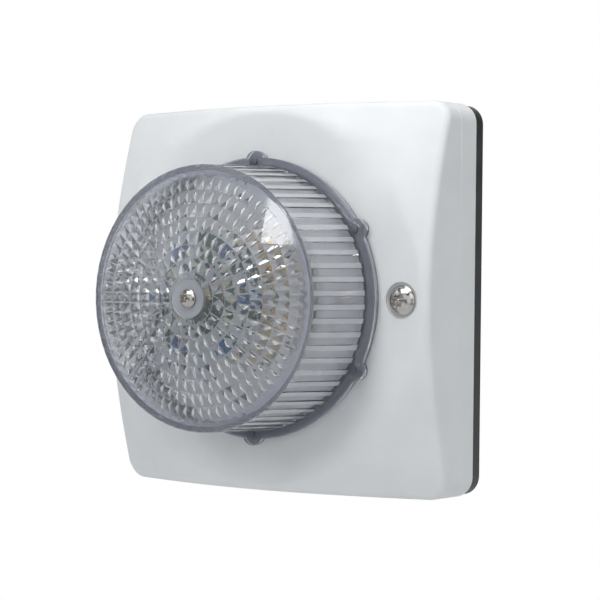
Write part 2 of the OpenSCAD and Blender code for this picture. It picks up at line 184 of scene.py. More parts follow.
def add_stage():
    scene = bpy.context.scene
    scene.view_settings.view_transform = "Standard"
    world = bpy.data.worlds.new("studio")
    world.use_nodes = True
    scene.world = world
    tree = world.node_tree
    seen = tree.nodes["Background"]
    seen.inputs["Color"].default_value = (1, 1, 1, 1)
    lit = tree.nodes.new("ShaderNodeBackground")
    lit.inputs["Color"].default_value = (0.96, 0.98, 1, 1)
    tree.links.new(studio_panels(tree), lit.inputs["Strength"])
    path = tree.nodes.new("ShaderNodeLightPath")
    mix = tree.nodes.new("ShaderNodeMixShader")
    tree.links.new(path.outputs["Is Camera Ray"], mix.inputs[0])
    tree.links.new(lit.outputs[0], mix.inputs[1])
    tree.links.new(seen.outputs[0], mix.inputs[2])
    tree.links.new(mix.outputs[0], tree.nodes["World Output"].inputs["Surface"])

    mesh = bpy.data.meshes.new("floor")
    corners = [(x * FLOOR_HALF, y * FLOOR_HALF, 0)
               for x, y in ((-1, -1), (1, -1), (1, 1), (-1, 1))]
    mesh.from_pydata(corners, [], [(0, 1, 2, 3)])
    floor = bpy.data.objects.new("floor", mesh)
    floor.location.z = FLOOR_Z
    scene.collection.objects.link(floor)
    pale = bpy.data.materials.new("pale_floor")
    pale.use_nodes = True
    shader = pale.node_tree.nodes["Principled BSDF"]
    shader.inputs["Base Color"].default_value = (0.84, 0.84, 0.84, 1)
    shader.inputs["Roughness"].default_value = 0.9
    shader.inputs["Emission Color"].default_value = (1, 1, 1, 1)
    shader.inputs["Emission Strength"].default_value = 0.04
    mesh.materials.append(pale)

    add_light("top_softbox", 22, 62, 0.6, (0.4, 0.3), 1.75)
    add_light("front_window", -6.5, 21, 1.3, (0.22, 0.3), 2.0)
    add_light("right_softbox", 75, 30, 1.2, (0.5, 0.9), 1.4)


# ---- materials ----

def ramp_socket(tree, factor, dark, light):
    ramp = tree.nodes.new("ShaderNodeMix")
    ramp.data_type = "RGBA"
    ramp.inputs[6].default_value = (*dark, 1)
    ramp.inputs[7].default_value = (*light, 1)
    tree.links.new(factor, ramp.inputs[0])
    return ramp.outputs[2]


def noise_socket(tree, coords, scale, detail=3.0):
    noise = tree.nodes.new("ShaderNodeTexNoise")
    noise.inputs["Scale"].default_value = scale
    noise.inputs["Detail"].default_value = detail
    tree.links.new(coords, noise.inputs["Vector"])
    return noise.outputs["Fac"]


def range_socket(tree, value, low, high, from_low=0.3, from_high=0.7):
    scale = tree.nodes.new("ShaderNodeMapRange")
    scale.inputs["From Min"].default_value = from_low
    scale.inputs["From Max"].default_value = from_high
    scale.inputs["To Min"].default_value = low
    scale.inputs["To Max"].default_value = high
    tree.links.new(value, scale.inputs["Value"])
    return scale.outputs[0]


def material(name, dark, light, rough, patch=120.0, grain=2500.0, bump=0.1, lift=0.02,
             pattern=None, **fixed):
    """Principled material: colour and roughness drift over `patch` noise, `grain` noise is the
    surface relief (`lift` in mm). `pattern` may return a socket that mixes the two colours."""
    made = bpy.data.materials.new(name)
    made.use_nodes = True
    tree = made.node_tree
    shader = tree.nodes["Principled BSDF"]
    coords = tree.nodes.new("ShaderNodeTexCoord").outputs["Object"]
    drift = noise_socket(tree, coords, patch)
    factor = pattern(tree, coords) if pattern else range_socket(tree, drift, 0, 1)
    tree.links.new(ramp_socket(tree, factor, dark, light), shader.inputs["Base Color"])
    tree.links.new(range_socket(tree, drift, *rough), shader.inputs["Roughness"])
    relief = tree.nodes.new("ShaderNodeBump")
    relief.inputs["Strength"].default_value = bump
    relief.inputs["Distance"].default_value = lift * MM
    tree.links.new(noise_socket(tree, coords, grain, 2.0), relief.inputs["Height"])
    tree.links.new(relief.outputs[0], shader.inputs["Normal"])
    for socket, value in fixed.items():
        shader.inputs[socket.replace("_", " ")].default_value = value
    return made


def grey(level):
    return (level, level, level)


def make_materials():
    made = {}
    made["white_plastic"] = material(
        "white_moulded_plastic", (0.80, 0.825, 0.83), (0.845, 0.865, 0.87), (0.36, 0.46),
        patch=60, grain=1500, bump=0.35, lift=0.03, Specular_IOR_Level=0.45)
    made["black_plastic"] = material(
        "black_moulded_plastic", grey(0.026), grey(0.04), (0.3, 0.45), patch=90, grain=1800,
        bump=0.3, lift=0.03)
    made["gasket_rubber"] = material(
        "grey_gasket_rubber", (0.09, 0.10, 0.125), (0.14, 0.155, 0.18), (0.45, 0.6), bump=0.3)
    made["seal_rubber"] = material("seal_rubber", grey(0.02), grey(0.045), (0.55, 0.75), bump=0.3)
    made["screw_seal"] = material("screw_seal_rubber", grey(0.012), grey(0.03), (0.5, 0.7))
    made["foam"] = material("closed_cell_foam", grey(0.035), grey(0.05), (0.8, 0.95), patch=700,
                            grain=2200, bump=0.6, lift=0.08)
    made["screw_steel"] = material(
        "stainless_steel", (0.50, 0.48, 0.45), (0.62, 0.60, 0.57), (0.12, 0.24), patch=400,
        grain=5000, bump=0.15, lift=0.005, Metallic=1.0)
    made["steel_zinc"] = material("zinc_plated_steel", grey(0.5), grey(0.65), (0.25, 0.4),
                                  patch=500, Metallic=1.0)
    made["brass"] = material("brass", (0.55, 0.38, 0.14), (0.72, 0.53, 0.22), (0.2, 0.35),
                             patch=500, Metallic=1.0)
    made["tower_aluminium"] = material("satin_aluminium", grey(0.62), grey(0.74), (0.25, 0.4),
                                       patch=300, Metallic=1.0)
    made["reflector_white"] = material("reflector_plastic", (0.78, 0.80, 0.84), (0.86, 0.88, 0.91),
                                       (0.25, 0.4), patch=80, bump=0.2)
    made["green_board"] = material("green_solder_mask", (0.012, 0.09, 0.05), (0.04, 0.19, 0.1),
                                   (0.25, 0.4), pattern=board_traces, bump=0.2)
    made["tinned_board"] = material("tinned_led_board", (0.015, 0.085, 0.06), (0.62, 0.66, 0.7),
                                    (0.25, 0.4), pattern=tinned_areas, bump=0.2)
    made["white_board"] = material("gold_finish_board", (0.60, 0.48, 0.28), (0.74, 0.66, 0.52),
                                   (0.3, 0.45), pattern=board_traces, bump=0.2)
    made["led_phosphor"] = material("led_phosphor", (0.75, 0.36, 0.03), (0.95, 0.62, 0.12),
                                    (0.25, 0.5), patch=900, bump=0.3)
    made["pale_phosphor"] = material("pale_phosphor", (0.62, 0.62, 0.42), (0.76, 0.75, 0.56),
                                     (0.25, 0.5), patch=900, bump=0.3)
    made["led_package"] = material("led_package", (0.7, 0.7, 0.66), (0.8, 0.8, 0.77), (0.3, 0.5))
    made["blue_component"] = material("blue_coating", (0.01, 0.09, 0.26), (0.02, 0.16, 0.40),
                                      (0.15, 0.3), patch=500)
    made["connector_plastic"] = material("natural_nylon", (0.68, 0.64, 0.52), (0.8, 0.76, 0.64),
                                         (0.35, 0.5))
    made["ribbon"] = material("ribbon_insulation", grey(0.3), grey(0.5), (0.35, 0.5),
                              pattern=ribbon_wires)
    made["capacitor_sleeve"] = material("capacitor_sleeve", (0.015, 0.015, 0.04),
                                        (0.03, 0.03, 0.07), (0.2, 0.35))
    made["ferrite"] = material("ferrite", grey(0.05), grey(0.09), (0.5, 0.7), bump=0.5)
    made["chip_plastic"] = material("chip_epoxy", grey(0.02), grey(0.035), (0.45, 0.6))
    made["jack_plastic"] = material("jack_plastic", grey(0.05), grey(0.075), (0.35, 0.5))
    made["terminal_plastic"] = material("terminal_plastic", (0.03, 0.25, 0.11),
                                        (0.05, 0.33, 0.16), (0.3, 0.45))
    made["switch_shell"] = material("pressed_shell", grey(0.4), grey(0.5), (0.25, 0.4),
                                    Metallic=1.0)
    made["button_plastic"] = material("button_plastic", grey(0.02), grey(0.035), (0.35, 0.5))
    made["grommet_rubber"] = material("grommet_rubber", grey(0.015), grey(0.03), (0.5, 0.7),
                                      bump=0.4)
    made["clear_lens"] = material(
        "clear_polycarbonate", (0.90, 0.91, 0.95), (0.96, 0.965, 0.99), (0.02, 0.05), patch=70,
        grain=260, bump=0.06, lift=0.05, Transmission_Weight=0.95, IOR=1.57)
    made["lens_facet"] = material(
        "faceted_polycarbonate", (0.94, 0.96, 1.0), (0.98, 0.99, 1.0), (0.01, 0.03), patch=120,
        grain=400, bump=0.04, lift=0.03, Transmission_Weight=0.95, IOR=1.57)
    made["lens_satin"] = material(
        "satin_polycarbonate", (0.60, 0.62, 0.73), (0.66, 0.68, 0.79), (0.05, 0.12), patch=60,
        grain=500, bump=0.08, lift=0.03, Transmission_Weight=0.78, IOR=1.57)
    made["lens_eye"] = material(
        "frosted_polycarbonate", (0.46, 0.48, 0.53), (0.53, 0.55, 0.60), (0.3, 0.4), patch=60,
        grain=900, bump=0.1, lift=0.02, Transmission_Weight=0.3, IOR=1.57)
    # milky white on the strips along the facet edges is a painted highlight for the light the edges
    # catch
    made["lens_ridge_highlight"] = material(
        "facet_edge_painted_highlight", (0.94, 0.95, 0.99), (0.98, 0.985, 1.0), (0.06, 0.12),
        patch=150, grain=900, bump=0.1, lift=0.02, Transmission_Weight=0.36, IOR=1.57)
    # milky white on the raised ribs is painted sheen for the light the clear ribs refract; the ribs
    # themselves are real
    made["lens_rib_sheen"] = material(
        "rib_painted_sheen", (0.88, 0.89, 0.93), (0.95, 0.955, 0.98), (0.06, 0.14), patch=150,
        grain=900, bump=0.12, lift=0.03, Transmission_Weight=0.66, IOR=1.57)
    return made


def board_traces(tree, coords):
    """Straight copper runs under the solder mask, in the plane of the boards."""
    turn = tree.nodes.new("ShaderNodeMapping")
    turn.inputs["Rotation"].default_value = (math.pi / 2, 0, 0)
    tree.links.new(coords, turn.inputs["Vector"])
    bricks = tree.nodes.new("ShaderNodeTexBrick")
    bricks.offset = 0.37
    bricks.squash = 0.45
    bricks.squash_frequency = 3
    bricks.inputs["Scale"].default_value = 60
    bricks.inputs["Brick Width"].default_value = 1.3
    bricks.inputs["Row Height"].default_value = 0.075
    bricks.inputs["Mortar Size"].default_value = 0.011
    bricks.inputs["Mortar Smooth"].default_value = 0.1
    tree.links.new(turn.outputs[0], bricks.inputs["Vector"])
    return bricks.outputs["Fac"]


def tinned_areas(tree, coords):
    """Bright tinned copper over most of the board, the solder mask in the gaps."""
    cells = tree.nodes.new("ShaderNodeTexVoronoi")
    cells.inputs["Scale"].default_value = 190
    tree.links.new(coords, cells.inputs["Vector"])
    split = tree.nodes.new("ShaderNodeSeparateColor")
    tree.links.new(cells.outputs["Color"], split.inputs[0])
    return range_socket(tree, split.outputs[0], 0, 1, 0.24, 0.26)


def ribbon_wires(tree, coords):
    """Stripes across the ribbon, one for each wire."""
    wave = tree.nodes.new("ShaderNodeTexWave")
    wave.bands_direction = "X"
    wave.inputs["Scale"].default_value = 250
    tree.links.new(coords, wave.inputs["Vector"])
    return wave.outputs["Fac"]


# ---- mesh building ----

class Skin:
    """Collects loops of points and the faces between them, then makes one object."""

    def __init__(self):
        self.points = []
        self.faces = []
        self.marks = []

    def add(self, points):
        first = len(self.points)
        self.points.extend(points)
        return list(range(first, len(self.points)))

    def face(self, corners, mark=0):
        self.faces.append(corners)
        self.marks.append(mark)

    def bridge(self, a, b, mark=0):
        """Quads between two closed loops of the same length. mark may be a function of the step."""
        n = len(a)
        for i in range(n):
            j = (i + 1) % n
            self.face((a[i], a[j], b[j], b[i]), mark(i) if callable(mark) else mark)

    def gap(self, a, b):
        return (self.points[a] - self.points[b]).length

    def zipper(self, a, b, mark=0):
        """Triangles between two closed loops of any length, always across the shorter way."""
        start = min(range(len(b)), key=lambda k: self.gap(a[0], b[k]))
        a, b = a + a[:1], b[start:] + b[:start + 1]
        i = j = 0
        while i < len(a) - 1 or j < len(b) - 1:
            on_a = i < len(a) - 1 and (
                j == len(b) - 1 or self.gap(a[i + 1], b[j]) <= self.gap(a[i], b[j + 1]))
            if on_a:
                self.face((a[i], a[i + 1], b[j]), mark)
                i += 1
            else:
                self.face((a[i], b[j + 1], b[j]), mark)
                j += 1

    def cap(self, loop, mark=0):
        self.face(tuple(loop), mark)

    def build(self, name, materials, sharp=30.0):
        mesh = bpy.data.meshes.new(name)
        mesh.from_pydata([tuple(p) for p in self.points], [], self.faces)
        for m in materials:
            mesh.materials.append(m)
        mesh.polygons.foreach_set("material_index", self.marks)
        bm = bmesh.new()
        bm.from_mesh(mesh)
        bmesh.ops.remove_doubles(bm, verts=bm.verts, dist=1e-7)
        bmesh.ops.recalc_face_normals(bm, faces=bm.faces)
        bm.to_mesh(mesh)
        bm.free()
        mesh.polygons.foreach_set("use_smooth", [True] * len(mesh.polygons))
        mesh.set_sharp_from_angle(angle=math.radians(sharp))
        made = bpy.data.objects.new(name, mesh)
        bpy.context.scene.collection.objects.link(made)
        return made


def circle(r, d, n, x=0.0, z=0.0):
    return [place(x + r * math.cos(TURN * i / n), z + r * math.sin(TURN * i / n), d)
            for i in range(n)]


def lathe(skin, section, n=64, x=0.0, z=0.0, mark=0):
    """Turns a section of (radius, depth) points about the axis through (x, z)."""
    loops = [skin.add(circle(r, d, n, x, z)) for r, d in section]
    for a, b in zip(loops, loops[1:]):
        skin.bridge(a, b, mark)
    return loops


def piece(made, body, nodes=()):
    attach(made, body)
    if nodes:
        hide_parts(*nodes)
    return made


# ---- lens ----

def dome_depth(r, top):
    return top - DOME_R + math.sqrt(DOME_R ** 2 - r ** 2)


def lobed(angle, r, lobe_at, lobe_r, first=0):
    """Radius, on this ray, of a circle with six round lobes standing out of it."""
    reach = r
    for k in range(EARS):
        off = angle - math.radians(first) - TURN * k / EARS
        across = lobe_at * math.sin(off)
        if math.cos(off) > 0 and abs(across) < lobe_r:
            reach = max(reach, lobe_at * math.cos(off) + math.sqrt(lobe_r ** 2 - across ** 2))
    return reach


def flange_reach(angle, inset=0.0):
    """Outline radius of the foot flange with its six ears."""
    return lobed(angle, FLANGE_R - inset, EAR_AT, EAR_R - inset, EAR_FIRST)


def wall_loop(skin, r, d, drop=0.0):
    """Loop round the wall, `drop` lower between the ribs."""
    points = []
    for k in range(RIBS):
        for step, raised in zip(RIB_STEPS, RIB_RAISED):
            radius = r if raised else r - drop
            points.append(polar(radius, TURN * (k + step) / RIBS, d))
    return skin.add(points)


def build_facets(skin, outer_loop, inner_loop, facet, ridge_highlight):
    """Rings of pyramids on the inside of the dome, with strips of a milky white glass between them,
    a painted highlight along the facet edges.

    Each ring has FACET_RAYS pyramids fewer than the one outside it, so that their rows run
    parallel along that many rays, one of which points to the left.
    """
    above = outer_loop
    sunk = 0.25
    for number, (outer, inner) in enumerate(zip(FACET_EDGES, FACET_EDGES[1:])):
        n = FACET_RAYS * (FIRST_FACETS - number)
        middle = (outer + inner) / 2
        height = 0.3 * min(outer - inner, TURN * middle / n)
        half = math.pi / n
        inner_r = (inner + 0.06) / math.cos(half)
        centres = [math.pi + TURN * i / n for i in range(n)]
        out_d = dome_depth(outer, DOME_IN) - sunk
        in_d = dome_depth(inner, DOME_IN) - sunk
        corners = [[(a - half + RIDGE_W / 2 / r, a + half - RIDGE_W / 2 / r) for a in centres]
                   for r in (outer, inner_r)]
        first = number == 0
        crest = (outer + 0.45, out_d + 0.2) if first else (outer - 0.06, out_d)
        edge = skin.add([polar(r, a, d) for (a0, a1), a in zip(corners[0], centres)
                         for r, a, d in ((outer - 0.06, a0, out_d), (crest[0], a, crest[1]),
                                         (outer - 0.06, a1, out_d))])
        foot = skin.add([polar(inner_r, a, in_d) for pair in corners[1] for a in pair])
        peak_d = dome_depth(middle, DOME_IN) - sunk - height
        peaks = skin.add([polar(middle, a, peak_d) for a in centres])
        for i, peak in enumerate(peaks):
            a, b, c = edge[3 * i:3 * i + 3]
            d, e = foot[2 * i:2 * i + 2]
            for side in ((a, b), (b, c), (c, e), (e, d), (d, a)):
                skin.face((*side, peak), facet)
            skin.face((c, edge[(3 * i + 3) % len(edge)], foot[(2 * i + 2) % len(foot)], e), ridge_highlight)
        skin.zipper(above, edge, ridge_highlight if number else facet)
        last = number == len(FACET_EDGES) - 2
        if last:
            break
        above = skin.add([polar(inner, TURN * i / 360, in_d) for i in range(360)])
        skin.zipper(above, foot, ridge_highlight)
    skin.zipper(foot, inner_loop, facet)


def build_lens(materials):
    skin = Skin()
    # two of these glasses are painted: milky sheen on the raised ribs, milky highlight on the
    # facet-edge strips
    glass, rib_sheen, facet, satin, frost, ridge_highlight = range(6)

    # raised rib faces take the milky painted sheen, the rest of the wall stays clear
    def rib_sheen_mark(i):
        here, after = (RIB_RAISED[k % len(RIB_RAISED)] for k in (i, i + 1))
        return rib_sheen if here and after else glass

    def wall_r(d):
        return LENS_R - (LENS_R - RIM_R) * (d - WALL_D) / (RIM_D - WALL_D)

    def inner_r(d):
        return wall_r(d) - LENS_T

    # outer wall, from the flange up
    foot = wall_loop(skin, wall_r(WALL_D) - RIB_H, WALL_D)
    below = foot
    rows = [(WALL_D + 0.7, 0.5, False), (WALL_D + 1.3, RIB_H, True)]
    rows += [(WALL_D + 1.3 + step * (RIM_D - WALL_D - 1.8) / 6, RIB_H, True) for step in range(1, 7)]
    for d, drop, ribbed in rows:
        r = wall_r(d) - (0 if ribbed else RIB_H)
        loop = wall_loop(skin, r, d, drop if ribbed else 0)
        skin.bridge(below, loop, rib_sheen_mark if ribbed else glass)
        below = loop
    rim = [(wall_r(RIM_D - 0.35) - 0.02, RIM_D - 0.35), (RIM_R, RIM_D - 0.15), (RIM_R - 0.1, RIM_D),
           (RIM_R - 0.4, dome_depth(RIM_R - 0.4, APEX_D))]
    for r, d in rim:
        loop = wall_loop(skin, r, d)
        skin.bridge(below, loop, satin)
        below = loop
    # smooth outside of the dome, the sunk eye and the screw hole
    for r in [47, FACET_EDGES[0], 42, 39, 36, 32, 28, 24, 20, 16, 12, 9.5, EYE_R + 0.12]:
        loop = wall_loop(skin, r, dome_depth(r, APEX_D))
        skin.bridge(below, loop, satin if r >= FACET_EDGES[0] else facet)
        below = loop
    eye = [(EYE_R, dome_depth(EYE_R, APEX_D) - 0.1), (EYE_R, EYE_D + 0.15), (EYE_R - 0.15, EYE_D),
           (PIN_HOLE_R + 0.1, EYE_D), (PIN_HOLE_R, EYE_D - 0.1), (PIN_HOLE_R, DOME_IN + 0.1),
           (PIN_HOLE_R + 0.1, DOME_IN), (EYE_R - 0.4, DOME_IN)]
    loops = lathe(skin, eye, EYE_STEPS, mark=frost)
    skin.zipper(below, loops[0], facet)

    # inside: smooth band, inner corner, inner wall
    corner_d = dome_depth(inner_r(RIM_D - LENS_T) - 0.3, DOME_IN)
    band = wall_loop(skin, FACET_EDGES[0] + 0.7, dome_depth(FACET_EDGES[0] + 0.7, DOME_IN))
    build_facets(skin, band, loops[-1], facet, ridge_highlight)
    above = band
    inside = [(inner_r(corner_d) - 0.5, dome_depth(inner_r(corner_d) - 0.5, DOME_IN)),
              (inner_r(corner_d) - 0.1, corner_d - 0.15), (inner_r(corner_d - 0.6), corner_d - 0.6)]
    inside += [(inner_r(d), d) for d in (72, 64, 56, 48)] + [(inner_r(FOOT_D + 0.1), FOOT_D + 0.1)]
    for r, d in inside:
        loop = wall_loop(skin, r, d)
        skin.bridge(above, loop, glass)
        above = loop

    # flange
    angles = [TURN * i / FLANGE_STEPS for i in range(FLANGE_STEPS)]

    def ring(inset, d):
        return skin.add([polar(flange_reach(a, inset), a, d) for a in angles])

    front_in = skin.add(circle(LENS_R + 0.15, WALL_D, FLANGE_STEPS))
    fillet = skin.add(circle(LENS_R - 0.2, WALL_D + 0.02, FLANGE_STEPS))
    loops = [ring(0.3, WALL_D), ring(0.08, WALL_D - 0.08), ring(0, WALL_D - 0.3),
             ring(0, FOOT_D + 0.3), ring(0.08, FOOT_D + 0.08), ring(0.3, FOOT_D)]
    back_in = skin.add(circle(inner_r(FOOT_D) + 0.3, FOOT_D, FLANGE_STEPS))
    skin.zipper(fillet, foot, glass)
    skin.bridge(fillet, front_in, glass)
    skin.bridge(front_in, loops[0], satin)
    for a, b in zip(loops, loops[1:]):
        skin.bridge(a, b, satin)
    skin.bridge(loops[-1], back_in, glass)
    skin.zipper(back_in, above, glass)
    glasses = [materials[m] for m in
               ("clear_lens", "lens_rib_sheen", "lens_facet", "lens_satin", "lens_eye", "lens_ridge_highlight")]
    lens = skin.build("lens_shell", glasses, sharp=28)
    return piece(lens, "lens_cap", ["lens"])


def build_lugs(materials):
    """A round peg on the front of each ear."""
    skin = Skin()
    low = WALL_D + 0.02
    for k in range(EARS):
        a = math.radians(EAR_FIRST + 360 / EARS * k)
        x, z = EAR_AT * math.cos(a), EAR_AT * math.sin(a)
        section = [(0.01, low), (1.5, low), (1.7, low + 0.2), (1.65, low + 0.9),
                   (1.35, low + 1.15), (0.01, low + 1.18)]
        lathe(skin, section, 28, x, z)
    lugs = skin.build("lens_foot_lugs", [materials["gasket_rubber"]], sharp=40)
    return piece(lugs, "lens_cap")


def build_gasket(materials):
    """Foot gasket with a bulged outer edge, flush with the flange above it."""
    low, high = depth_range("lens_gasket")
    skin = Skin()
    angles = [TURN * i / GASKET_STEPS for i in range(GASKET_STEPS)]
    edge = [(0.75, low), (0.48, low + 0.15), (0.4, (low + high) / 2), (0.48, high - 0.15),
            (0.75, high)]
    loops = [skin.add([polar(flange_reach(a, inset), a, d) for a in angles]) for inset, d in edge]
    inner = [skin.add(circle(OPENING_R + back, d, GASKET_STEPS)) for back, d in
             ((0.3, high), (0, high - 0.3), (0, low + 0.3), (0.3, low))]
    loops += inner
    for a, b in zip(loops, loops[1:] + loops[:1]):
        skin.bridge(a, b)
    gasket = skin.build("foot_gasket", [materials["gasket_rubber"]], sharp=40)
    return piece(gasket, "cover_unit", ["lens_gasket"])


# ---- screws ----

def build_screw(materials, name, node, body, x, size):
    """Low domed head with a six-lobe recess round a guard pin, over a threaded shank."""
    shank_r, shank_l, head_r, head_h, lobe_r, pitch = size
    base = depth_range(node)[1] - head_h
    ball = (head_r ** 2 + head_h ** 2) / (2 * head_h)
    skin = Skin()
    n = 72
    angles = [TURN * i / n for i in range(n)]

    def dome(r):
        return base + head_h - ball + math.sqrt(ball ** 2 - r ** 2)

    def ring(radius, d):
        return skin.add([place(x + radius(a) * math.cos(a), radius(a) * math.sin(a),
                               d(radius(a)) if callable(d) else d) for a in angles])

    def lobe(grow):
        return lambda a: lobed(a, lobe_r, lobe_r, 0.34 * lobe_r) + grow

    def round_(r):
        return lambda a: r

    floor = base + head_h * 0.3
    pin_top = base + head_h * 0.8
    head = [(round_(0.01), pin_top), (round_(lobe_r * 0.24), pin_top),
            (round_(lobe_r * 0.35), pin_top - 0.12), (round_(lobe_r * 0.36), floor),
            (lobe(-0.06), floor), (lobe(0), floor + 0.06), (lobe(0), lambda r: dome(r) - 0.12),
            (lobe(0.1), dome)]
    reach = lobe_r * 1.34 + 0.1
    for t in (0.15, 0.35, 0.55, 0.75, 0.9):
        head.append((round_(reach + (head_r - reach) * t), dome))
    head += [(round_(head_r - 0.12), base + 0.3), (round_(head_r), base + 0.18),
             (round_(head_r), base + 0.08), (round_(head_r - 0.1), base), (round_(shank_r), base)]
    loops = [ring(r, d) for r, d in head]

    rows = round(shank_l / pitch * 7)
    for row in range(1, rows + 1):
        d = base - shank_l * row / rows
        plain = min(1, row / 10, (rows - row) / 6)
        taper = max(0, 0.7 - (d - base + shank_l)) * 0.6
        loops.append(skin.add([place(
            x + (shank_r - taper - 0.4 * pitch * plain * groove(d / pitch - i / n)) * math.cos(a),
            (shank_r - taper - 0.4 * pitch * plain * groove(d / pitch - i / n)) * math.sin(a), d)
            for i, a in enumerate(angles)]))
    for a, b in zip(loops, loops[1:]):
        skin.bridge(a, b)
    skin.cap(loops[0])
    skin.cap(loops[-1])
    return piece(skin.build(name, [materials["screw_steel"]], sharp=35), body, [node])


def groove(phase):
    """Depth of a thread's profile, 0 on the crest and 1 in the root."""
    t = phase % 1
    return min(1, max(0, 1.3 - abs(t - 0.5) * 3.2))


def build_screws(materials):
    cover = (2.5, 16, 5.6, 3.2, 1.9, 0.8)
    build_screw(materials, "right_cover_screw", "right_screw", "right_fastener", SCREW_X, cover)
    build_screw(materials, "left_cover_screw", "left_screw", "left_fastener", -SCREW_X, cover)
    build_screw(materials, "lens_centre_screw", "lens_screw", "lens_fastener", 0,
                (2, 10, 3.5, 2.4, 1.2, 0.7))


# ---- LEDs ----

def build_led(skin, middle, across, along, out, size, height):
    """One square package: bevelled walls, and a sunk round window of phosphor gel."""
    n = 24

    def loop(reach, corner, h):
        points = []
        for i in range(n):
            a = TURN * (i + 0.5) / n
            r = outline(a, reach, corner)[0] if corner else reach
            points.append(middle + (across * math.cos(a) * r + along * math.sin(a) * r + out * h)
                          * MM)
        return skin.add(points)

    half = size / 2
    wall = [loop(half, 0.3, 0), loop(half, 0.3, height - 0.2), loop(half - 0.15, 0.3, height),
            loop(half * 0.8, 0, height), loop(half * 0.76, 0, height - 0.22)]
    gel = [loop(half * 0.5, 0, height - 0.12), loop(half * 0.2, 0, height - 0.08)]
    for a, b in zip(wall, wall[1:]):
        skin.bridge(a, b, 0)
    for a, b in zip([wall[-1]] + gel, gel):
        skin.bridge(a, b, 1)
    skin.cap(gel[-1], 1)
    skin.cap(wall[0], 0)


def build_leds(materials):
    kinds = [[materials["led_package"], materials[gel]] for gel in
             ("led_phosphor", "pale_phosphor")]
    depth = Vector((0, -1, 0))
    foot, top = depth_range("side_led_boards")
    board_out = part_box("side_led_boards")[1].z / MM
    led_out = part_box("side_leds")[1].z / MM
    pitch = (top - foot) / LEDS_UP
    side = Skin()
    front = Skin()
    low, high = depth_range("front_leds")
    for k in range(TOWER_SIDES):
        a = math.radians(TOWER_FIRST + 360 / TOWER_SIDES * k)
        out = Vector((math.cos(a), 0, math.sin(a)))
        across = Vector((-math.sin(a), 0, math.cos(a)))
        for n in range(LEDS_UP):
            middle = out * board_out * MM + depth * (foot + (n + 0.5) * pitch) * MM
            build_led(side, middle, across, depth, out, LED_W, led_out - board_out)
        middle = out * FRONT_LED_AT * MM + depth * low * MM
        build_led(front, middle, across, out, depth, LED_W, high - low)
    piece(side.build("side_led_packages", kinds[0], sharp=35), "cover_unit", ["side_leds"])
    piece(front.build("front_led_packages", kinds[1], sharp=35), "cover_unit", ["front_leds"])


# ---- parts on the main board ----

def islands(node):
    """Box of each separate solid in a CAD node, as (low, high) in (x, z, depth) mm."""
    bm = bmesh.new()
    bm.from_mesh(frame["nodes"][node].data)
    bmesh.ops.remove_doubles(bm, verts=bm.verts, dist=1e-6)
    left = set(bm.verts)
    boxes = []
    while left:
        group, edge = set(), [left.pop()]
        while edge:
            vert = edge.pop()
            group.add(vert)
            near = {e.other_vert(vert) for e in vert.link_edges} & left
            left -= near
            edge.extend(near)
        spots = [(v.co.x / MM, v.co.z / MM, -v.co.y / MM) for v in group]
        boxes.append((tuple(min(p[k] for p in spots) for k in range(3)),
                      tuple(max(p[k] for p in spots) for k in range(3))))
    bm.free()
    return sorted(boxes)


def bar(skin, profile, across, width, mark=0):
    """Closed profile swept by half the width to each side along `across`."""
    ends = [skin.add([p + across * (width / 2 * side * MM) for p in profile]) for side in (-1, 1)]
    skin.bridge(*ends, mark)
    for end in ends:
        skin.cap(end, mark)


def build_capacitors(materials):
    """Cans with a rolled groove by the board, a shrunk sleeve and a ring pressed in the top."""
    skin = Skin()
    n = 48
    for (x0, z0, low), (x1, z1, high) in islands("smoothing_capacitors"):
        r = (x1 - x0) / 2
        sleeve = [(0.01, high), (r - 0.3, high), (r, high - 0.4), (r, high - 1.1),
                  (r - 0.45, high - 1.5), (r, high - 1.9), (r, low + 0.5), (r - 0.2, low + 0.1),
                  (r - 0.8, low), (r - 0.9, low + 0.15)]
        top = [(r - 0.9, low + 0.15), (r - 1.2, low + 0.25), (1.6, low + 0.25),
               (1.45, low + 0.4), (1.3, low + 0.25), (0.01, low + 0.25)]
        x, z = (x0 + x1) / 2, (z0 + z1) / 2
        lathe(skin, sleeve, n, x, z, 0)
        lathe(skin, top, n, x, z, 1)
    kinds = [materials["capacitor_sleeve"], materials["tower_aluminium"]]
    piece(skin.build("capacitor_cans", kinds), "cover_unit", ["smoothing_capacitors"])


def build_chips(materials):
    """Moulded bodies with sloping sides, a dot by the first leg and gull-wing legs."""
    skin = Skin()
    up = Vector((0, 0, 1))
    leg_pitch, leg_w, leg_t, stand = 0.8, 0.34, 0.12, 0.12
    for (x0, z0, low), (x1, z1, high) in islands("control_chips"):
        middle = (low + high) / 2

        def loop(inset, d):
            return skin.add([place(x0 + inset, z0 + inset, d), place(x1 - inset, z0 + inset, d),
                             place(x1 - inset, z1 - inset, d), place(x0 + inset, z1 - inset, d)])

        rings = [loop(0.12, high - stand), loop(0, middle), loop(0.12, low + 0.06),
                 loop(0.2, low)]
        for a, b in zip(rings, rings[1:]):
            skin.bridge(a, b)
        skin.cap(rings[0])
        skin.cap(rings[-1])
        lathe(skin, [(0.01, low - 0.02), (0.32, low - 0.02), (0.34, low)], 16, x0 + 1, z1 - 1, 1)
        for side, x in ((-1, x0), (1, x1)):
            count = int((z1 - z0 - 0.6) / leg_pitch)
            for k in range(count):
                z = (z0 + z1) / 2 + (k - (count - 1) / 2) * leg_pitch
                shape = [(0, middle - leg_t / 2), (0.42, middle - leg_t / 2), (0.56, high - leg_t),
                         (1.0, high - leg_t), (1.0, high), (0.46, high),
                         (0.34, middle + leg_t / 2), (0, middle + leg_t / 2)]
                bar(skin, [place(x + side * out, z, d) for out, d in shape], up, leg_w, 1)
    kinds = [materials["chip_plastic"], materials["steel_zinc"]]
    piece(skin.build("chip_packages", kinds), "cover_unit", ["control_chips"])


